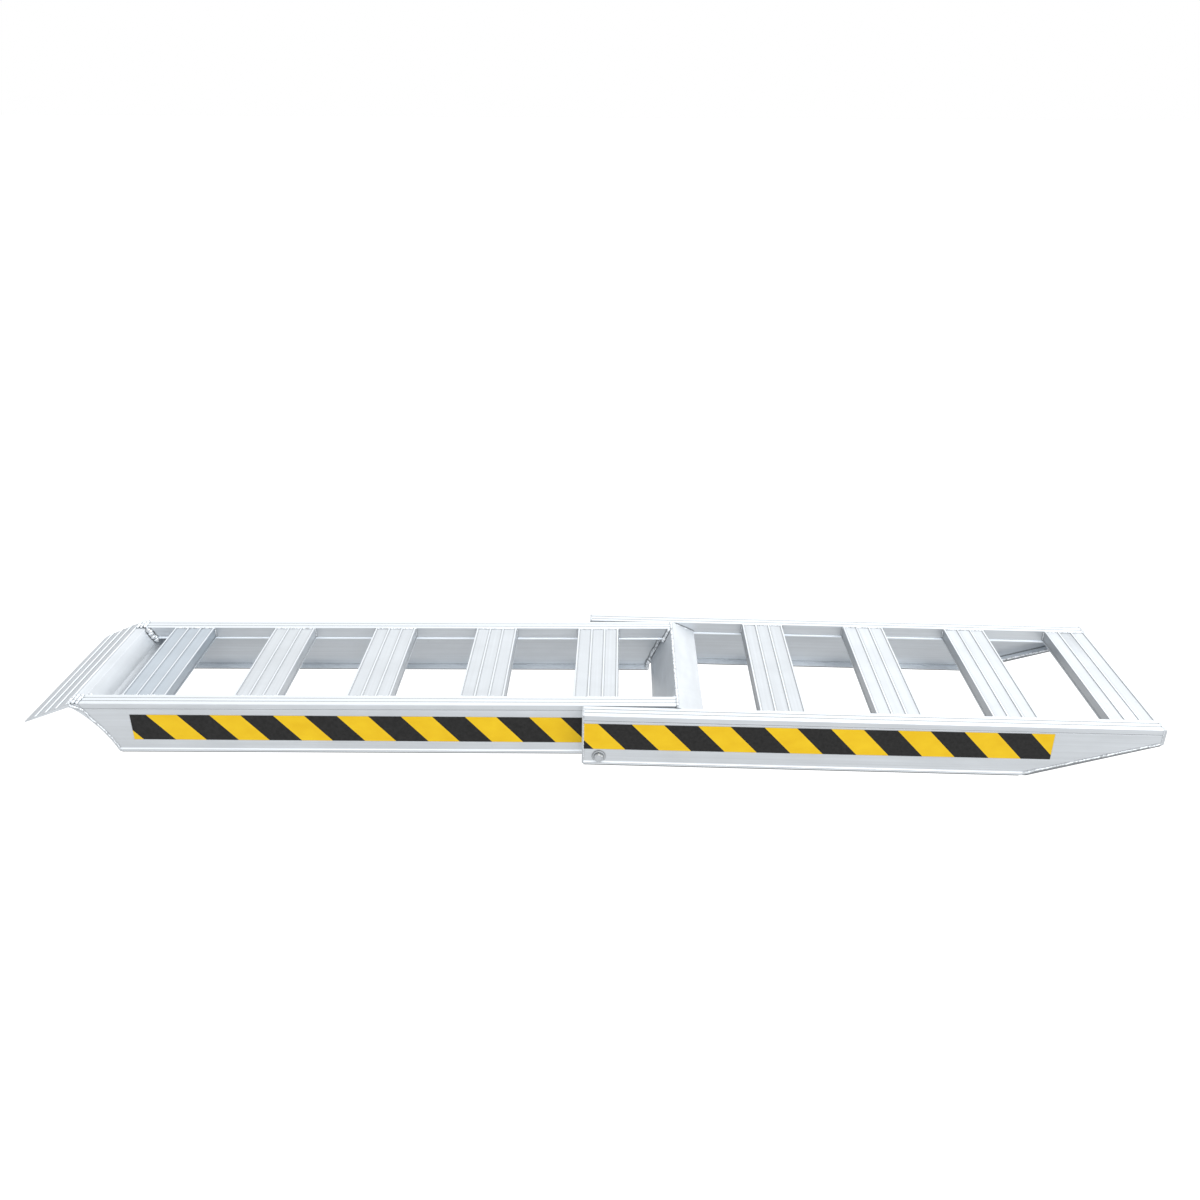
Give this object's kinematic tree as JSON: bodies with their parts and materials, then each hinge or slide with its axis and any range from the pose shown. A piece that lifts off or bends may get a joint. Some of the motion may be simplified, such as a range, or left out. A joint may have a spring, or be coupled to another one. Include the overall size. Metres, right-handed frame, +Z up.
{
  "type": "folding loading ramp",
  "caption": "Folding ladder-type aluminium loading ramp: two nested sections on pivot bolts, ribbed treads, a truck-bed hook, tapered ground end and hazard tape.",
  "frame": {"origin": "on the floor under the middle of the open ramp, at the centre of its box", "axes": "+X along the ramp towards the ground end, +Y to the left when facing +X, +Z up"},
  "size_m": [2.0074, 0.4168, 0.1116],
  "materials": {
    "rail_aluminium": "mill-finish extrusion, fine lengthwise lines",
    "tread_aluminium": "mill-finish ribbed extrusion",
    "plate_aluminium": "mill-finish plate, welded",
    "zinc_steel": "zinc plated",
    "hazard_tape": "yellow and black diagonal stripes"
  },
  "bodies": {
    "lower_section": {"lower_rail_left": "rail_aluminium", "hinge_end_cap_left": "plate_aluminium", "nose_cap_left": "plate_aluminium", "taper_shoe_left": "hazard_tape", "lower_tape_left": "hazard_tape", "pivot_bolt_left": "zinc_steel", "outer_washer_left": "zinc_steel", "pivot_spacer_left": "zinc_steel", "inner_washer_left": "zinc_steel", "pivot_nut_left": "zinc_steel", "lower_rail_right": "rail_aluminium", "hinge_end_cap_right": "plate_aluminium", "nose_cap_right": "plate_aluminium", "taper_shoe_right": "hazard_tape", "lower_tape_right": "hazard_tape", "pivot_bolt_right": "zinc_steel", "outer_washer_right": "zinc_steel", "pivot_spacer_right": "zinc_steel", "inner_washer_right": "zinc_steel", "pivot_nut_right": "zinc_steel", "lower_rung_1": "tread_aluminium", "lower_rung_2": "tread_aluminium", "lower_rung_3": "tread_aluminium", "lower_rung_4": "tread_aluminium"},
    "upper_section": {"upper_rail_left": "rail_aluminium", "upper_tape_left": "hazard_tape", "upper_rail_right": "rail_aluminium", "upper_tape_right": "hazard_tape", "upper_rung_1": "tread_aluminium", "upper_rung_2": "tread_aluminium", "upper_rung_3": "tread_aluminium", "upper_rung_4": "tread_aluminium", "upper_rung_5": "tread_aluminium", "truck_hook": "plate_aluminium", "stop_angle": "plate_aluminium"}
  },
  "joints": [
    {"name": "fold_hinge", "type": "hinge", "parent": "lower_section", "child": "upper_section", "pos_m": [0.02573, 0, 0.0277], "axis": [0, -1, 0], "range_deg": [0, 178.5]}
  ]
}
